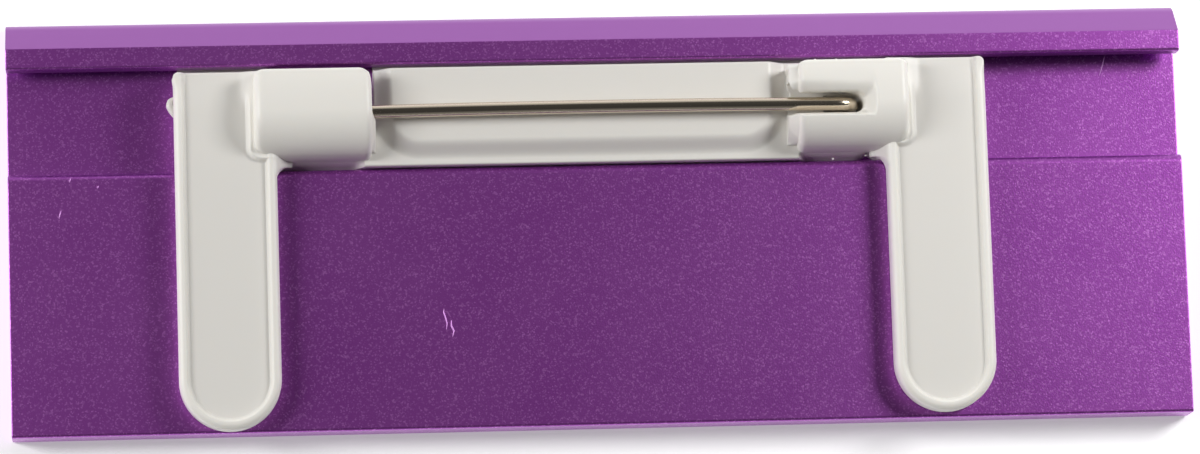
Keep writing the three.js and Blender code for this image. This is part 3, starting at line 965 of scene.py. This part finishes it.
def recessed(size, x, y, z, half, slot_centre):
    """The root housing's top with the recess beside its slot, and a soft edge along the slot.

    The recess is the highest of three slopes: a flank on the lip's side that rises on a parabola and flares
    towards the mouth, an end slope past the slot and a steep one on the low side. The top is the lower of the
    housing and the recess.
    """
    flare, flat, flank_width, flank_rise, slot_edge = 0.07, 0.3, 1.05, 0.78, 0.12
    end_steepness, low_steepness = 1.3, 3
    outwards = flare * np.maximum(size.root_x - x, 0)
    share = np.clip((y - size.wire_line - flat - outwards) / flank_width, 0, 1)
    flank = flank_rise * (1 - (1 - share) ** 2)
    far_end = (x - slot_centre - half) * end_steepness
    near_side = (size.wire_line - half - y) * low_steepness
    recess = size.flank_foot + smooth_max(smooth_max(flank, far_end, 0.25), near_side, 0.3)
    z = smooth_min(z, recess, 0.16)
    reach = np.hypot(np.maximum(x - slot_centre, 0), y - size.wire_line) - half
    return z - round_off(reach, slot_edge)


def prism(outline, low, high, axis):
    """A closed body: an outline carried along an axis from low to high, with a flat face at both ends."""
    rows = np.repeat(np.asarray(outline, float)[None], 2, 0)
    level = np.broadcast_to(np.array([low, high])[:, None, None], (2, rows.shape[1], 1))
    points = np.concatenate([level, rows] if axis == "X" else [rows, level], -1)
    return Skin().grid(points, wrap=True).cap(points[0]).cap(points[1])


def make_tip_housing():
    """The hook over the wire's tip: a housing less a tunnel that is open below and towards the lip."""
    size = fitting_lines()
    inner_end, tunnel_mouth, past_housing = 13.38, 11.0, 14.0
    ends = (inner_end, size.housing_outer)
    piece = make_housing(-1, "tip_housing", ends, (0.24, 0.04), (0.45, 1.1), False)
    spring = (size.pad_top + size.ledge_top) / 2
    angle = np.linspace(math.pi / 2, math.pi, 20)[:, None]
    across = np.array([size.wire_line - size.hollow_wall, size.roof_underside - spring])
    ceiling = np.array([size.wire_line, spring]) + across * np.concatenate([np.cos(angle), np.sin(angle)], 1)
    floor = [[size.hollow_wall, 0.0], [past_housing, 0.0], [past_housing, size.roof_underside]]
    outline = np.concatenate([floor, ceiling])
    tunnel = prism(outline, size.shift - size.hollow_end, size.shift - tunnel_mouth, "X")
    subtract(piece, put_in_scene(tunnel, "hollow"))
    return shade(piece)


def make_root_housing():
    """The housing over the wire's root: a slot with a sloping flank, and room under it for the swing."""
    size = fitting_lines()
    inner_end, mouth, swing = 13.75, 11.0, math.radians(10)
    ends = (inner_end, size.housing_outer - 0.05)
    piece = make_housing(1, "root_housing", ends, (0.6, 0.9), (0.3, 0.3), True)
    half = size.wire_half + WIRE_PLAY
    low = 0.02 - half
    swung = half / math.cos(swing) + (size.root_x - mouth) * math.tan(swing)
    x = np.array([size.root_x, size.root_x, mouth, mouth]) + size.shift
    y = size.wire_line + np.array([low, half, swung, low])
    room = prism(np.stack([x, y], 1), size.pad_top + 0.01, size.flank_foot - 0.02, "Z")
    subtract(piece, put_in_scene(room, "swing"))
    return shade(piece)


# Wire


def tube(path, radii, sides, reference):
    """A closed body round a path: circles square to it. The path never follows the reference direction."""
    tangent = np.gradient(path, axis=0)
    tangent /= np.linalg.norm(tangent, axis=1, keepdims=True)
    side = reference - tangent * (tangent @ reference)[:, None]
    side /= np.linalg.norm(side, axis=1, keepdims=True)
    up = np.cross(tangent, side)
    angle = np.linspace(0, 2 * math.pi, sides + 1)[:-1]
    ring = np.cos(angle)[None, :, None] * side[:, None] + np.sin(angle)[None, :, None] * up[:, None]
    points = path[:, None] + radii[:, None, None] * ring
    return Skin().grid(points, wrap=True).cap(points[0]).cap(points[-1])


# Marks as seen in the photo, in millimetres: the line of each in X and Y, its height and its radius.
SCRATCHES = (
    (((-10.17, -5.61), (-10.21, -5.84), (-10.1, -6.18), (-10.0, -6.6), (-10.06, -6.98)), 2.4, 0.05),
    (((-9.73, -6.35), (-9.74, -6.73), (-9.58, -7.07), (-9.68, -7.44)), 2.4, 0.06),
    (((-34.32, 0.6), (-34.24, 0.88), (-34.18, 1.1)), 2.4, 0.045),
    (((-33.62, 2.9), (-33.57, 3.05), (-33.54, 3.2)), 2.4, 0.04),
    (((-31.88, 2.5), (-31.82, 2.59), (-31.8, 2.68)), 2.4, 0.045),
    (((33.06, 10.18), (32.9, 9.6), (32.61, 8.81)), 1.1, 0.04),
)
FLASH = (
    (((-26.85, 8.1), (-27.15, 7.85), (-27.2, 7.55), (-27.05, 7.15), (-26.85, 6.7)), 3.2, 0.26),
    (((-26.86, 9.5), (-26.95, 9.2), (-26.9, 8.82), (-26.82, 8.4)), 3.3, 0.12),
    (((14.9, 3.5), (14.98, 3.53), (15.05, 3.5)), 2.3, 0.08),
    (((11.0, 3.6), (11.1, 3.62), (11.2, 3.6)), 2.5, 0.06),
    (((17.0, 3.7), (17.1, 3.72), (17.25, 3.75)), 2.2, 0.06),
    (((15.9, 4.17), (15.96, 4.19), (16.02, 4.2)), 3.9, 0.06),
    (((16.9, 4.68), (16.95, 4.69), (17.0, 4.7)), 4.54, 0.05),
    (((13.65, 9.46), (13.73, 9.5), (13.83, 9.48)), 4.85, 0.08),
    (((14.98, 9.47), (15.08, 9.5), (15.2, 9.47)), 4.85, 0.07),
    (((-17.2, 3.95), (-17.1, 3.98), (-17.0, 3.95)), 3.0, 0.05),
    (((-15.8, 3.95), (-15.7, 4.0), (-15.62, 3.96)), 3.1, 0.05),
)


def make_marks(name, marks):
    """Small marks: each a spindle along its own line, thick in the middle as 1 - 0.8 u^2."""
    skin = Skin()
    rings, sides = 16, 10
    for line, height, radius in marks:
        corners = np.array([(x, y, height) for x, y in line])
        t = np.linspace(0, len(corners) - 1, rings)
        path = np.stack([np.interp(t, np.arange(len(corners)), column) for column in corners.T], -1)
        radii = radius * (1 - 0.8 * np.linspace(-1, 1, rings) ** 2)
        skin.include(tube(path, radii, sides, np.array([0.0, 0.0, 1.0])))
    return shade(put_in_scene(skin, name))


def make_wire():
    """The wire: a circle carried along a bowed line that bends down into the root housing, ground to a point.

    The shank is a quadratic curve through its bow, the bend a quadratic curve from level to upright. The wire
    is sprung a little to the low side, by the square of the distance from its root.
    """
    size = fitting_lines()
    wire = in_millimetres(bpy.context.scene.name_badge.wire)
    radius, point_radius, bend, sprung = wire.diameter / 2, 0.05, 1.2, 0.09
    tip = WIRE_LOW.x / MILLIMETRE - HINGE.x / MILLIMETRE
    root = WIRE_LOW.z / MILLIMETRE - size.wire_height
    ground = wire.point / -(tip + bend)
    t = np.concatenate([np.linspace(0, ground, 20)[:-1], np.linspace(ground, 1, 120)])[:, None]
    low, control, high = np.array([[tip, 0, 0], [(tip - bend) / 2, 2 * wire.bow, 0], [-bend, 0, 0]])
    shank = (1 - t) ** 2 * low + 2 * t * (1 - t) * control + t**2 * high
    t = np.linspace(0, 1, 28)[1:, None]
    elbow = (1 - t) ** 2 * np.array([-bend, 0, 0]) + t**2 * np.array([0, 0, -bend])
    leg = np.linspace([0, 0, -bend], [0, 0, root], 6)[1:]
    path = np.concatenate([shank, elbow, leg])
    path[:, 1] -= sprung * (path[:, 0] / tip) ** 2 * (path[:, 0] < 0)
    share = np.clip((path[:, 0] - tip) / wire.point, 0, 1)
    radii = point_radius + (radius - point_radius) * (1 - (1 - share) ** 1.25)
    skin = tube(path + np.array(HINGE) / MILLIMETRE, radii, 40, np.array([0.0, 1.0, 0.0]))
    steel = finish_named("nickel plated steel", nickel_plated_wire)
    dress(shade(put_in_scene(skin, "pin")), steel, "pin", "pin_wire")


# Operators


class BADGE_OT_plate(bpy.types.Operator):
    """Makes the anodised plate"""

    bl_idname = "badge.plate"
    bl_label = "Plate"

    def execute(self, context):
        make_plate()
        return {"FINISHED"}


class BADGE_OT_legs(bpy.types.Operator):
    """Makes both legs of the pin fitting, with the webs at their roots"""

    bl_idname = "badge.legs"
    bl_label = "Legs"

    def execute(self, context):
        for side, word in ((-1, "left"), (1, "right")):
            dress_as_fitting(make_leg(side, f"leg_{word}"), make_root_web(side, f"web_{word}"))
        return {"FINISHED"}


class BADGE_OT_bar(bpy.types.Operator):
    """Makes the bar in the channel, with its pad and its tongue"""

    bl_idname = "badge.bar"
    bl_label = "Bar and pad"

    def execute(self, context):
        dress_as_fitting(make_bar())
        return {"FINISHED"}


class BADGE_OT_housings(bpy.types.Operator):
    """Makes the hooked housing of the wire's tip and the slotted housing of its root"""

    bl_idname = "badge.housings"
    bl_label = "Housings"

    def execute(self, context):
        dress_as_fitting(make_tip_housing(), make_root_housing())
        return {"FINISHED"}


class BADGE_OT_marks(bpy.types.Operator):
    """Makes the scratches in the plate and the flash on the moulding"""

    bl_idname = "badge.marks"
    bl_label = "Scratches and flash"

    def execute(self, context):
        bare = finish_named("bare aluminium", bare_aluminium)
        dress(make_marks("plate_scratches", SCRATCHES), bare, "badge", "badge_plate")
        dress_as_fitting(make_marks("moulding_flash", FLASH))
        return {"FINISHED"}


class BADGE_OT_wire(bpy.types.Operator):
    """Makes the nickel plated pin wire"""

    bl_idname = "badge.wire"
    bl_label = "Pin wire"

    def execute(self, context):
        make_wire()
        return {"FINISHED"}


def area_light(name, place, size, power):
    """A small white rectangular lamp at place that faces the badge."""
    light = bpy.data.lights.new(name, "AREA")
    light.shape = "RECTANGLE"
    light.size, light.size_y = size
    light.energy = power
    lamp = bpy.data.objects.new(name, light)
    turned = (-Vector(place)).to_track_quat("-Z", "Y").to_matrix().to_4x4()
    lamp.matrix_world = Matrix.Translation(place) @ turned
    bpy.context.scene.collection.objects.link(lamp)


def camera_at_the_photo():
    """A camera 0.35 m above the badge, a little to its left and below it, solved from the plate's edges."""
    place = (-0.029709, -0.052453, 0.348805)
    right = Vector((0.99626, -0.03195, 0.08034))
    up = Vector((0.01963, 0.98854, 0.14967))
    turned = Matrix((right, up, right.cross(up))).transposed().to_4x4()
    lens = bpy.data.cameras.new("camera")
    lens.sensor_fit = "HORIZONTAL"
    lens.sensor_width = 36.0
    lens.lens = 165.98
    lens.clip_start = 0.02
    camera = bpy.data.objects.new("camera", lens)
    camera.matrix_world = Matrix.Translation(place) @ turned
    bpy.context.scene.collection.objects.link(camera)
    bpy.context.scene.camera = camera


def dim_room(stage):
    """A dim room, whose far side, left and near side brighten towards the horizon."""
    world = bpy.data.worlds.new("room")
    world.use_nodes = True
    tree = world.node_tree
    tree.nodes.clear()
    direction = add_node(tree, "TexCoord").outputs["Generated"]
    towards = add_node(tree, "SeparateXYZ", {"Vector": direction})
    room = stage.room_glow
    for axis, start, end, brightness in (
        ("Y", 0.6, 1.0, stage.back_glow),
        ("X", -0.5, -1.0, stage.left_glow),
        ("Y", -0.65, -1.0, stage.front_glow),
    ):
        band = {"Value": towards.outputs[axis], "From Min": start, "From Max": end, "To Max": brightness}
        band = add_node(tree, "MapRange", band).outputs["Result"]
        room = add_node(tree, "Math", {0: room, 1: band}, operation="ADD").outputs["Value"]
    back = add_node(tree, "Background", {"Color": linear("#FFFFFF"), "Strength": room})
    add_node(tree, "OutputWorld", {"Surface": back.outputs["Background"]})
    bpy.context.scene.world = world


class BADGE_OT_stage(bpy.types.Operator):
    """Makes the plain floor, two small lamps, the room's light and the camera"""

    bl_idname = "badge.stage"
    bl_label = "Stage"

    def execute(self, context):
        stage = context.scene.name_badge.stage
        reach, level = 1500.0, -0.02
        signs = np.array([[-1, -1], [1, -1], [1, 1], [-1, 1]])
        corners = np.column_stack([reach * signs, np.full(4, level)])
        floor = put_in_scene(Skin().cap(corners), "floor")
        white = tuple(stage.floor)
        glowing = {"Base Color": white, "Roughness": 0.9, "Emission Color": white, "Emission Strength": 0.3}
        floor.data.materials.append(new_material("matt paper", glowing)[0])
        area_light("left lamp", (-0.2, 0.03, 0.155), (0.05, 0.12), stage.left_power)
        area_light("right lamp", (0.1385, 0.058, 0.118), (0.06, 0.06), stage.right_power)
        dim_room(stage)
        camera_at_the_photo()
        context.scene.view_settings.view_transform = "Standard"
        context.scene.view_settings.look = "None"
        return {"FINISHED"}


class BADGE_PT_panel(bpy.types.Panel):
    """The badge's settings, and a button for each group of pieces"""

    bl_idname = "BADGE_PT_panel"
    bl_label = "Name badge"
    bl_space_type = "VIEW_3D"
    bl_region_type = "UI"
    bl_category = "Name badge"

    def draw(self, context):
        settings = context.scene.name_badge
        for key, operators in PANEL_ROWS:
            box = self.layout.box()
            group = getattr(settings, key)
            for name in group.bl_rna.properties.keys():
                if name not in ("rna_type", "name"):
                    box.prop(group, name)
            for operator in operators:
                box.operator(operator)


PANEL_ROWS = (
    ("plate", ("badge.plate",)),
    ("fitting", ("badge.legs", "badge.bar", "badge.housings")),
    ("wire", ("badge.wire",)),
    ("finish", ("badge.marks",)),
    ("stage", ("badge.stage",)),
)

CLASSES = (
    PlateSettings,
    FittingSettings,
    WireSettings,
    FinishSettings,
    StageSettings,
    BadgeSettings,
    BADGE_OT_plate,
    BADGE_OT_legs,
    BADGE_OT_bar,
    BADGE_OT_housings,
    BADGE_OT_wire,
    BADGE_OT_marks,
    BADGE_OT_stage,
    BADGE_PT_panel,
)


def register():
    for cls in CLASSES:
        bpy.utils.register_class(cls)
    settings = {"name": "Name badge", "description": "Settings of the name badge"}
    bpy.types.Scene.name_badge = PointerProperty(type=BadgeSettings, **settings)


def unregister():
    del bpy.types.Scene.name_badge
    for cls in reversed(CLASSES):
        bpy.utils.unregister_class(cls)


def main():
    register()
    bpy.ops.badge.stage()
    bpy.ops.badge.plate()
    bpy.ops.badge.legs()
    bpy.ops.badge.bar()
    bpy.ops.badge.housings()
    bpy.ops.badge.wire()
    bpy.ops.badge.marks()


if __name__ == "__main__":
    main()
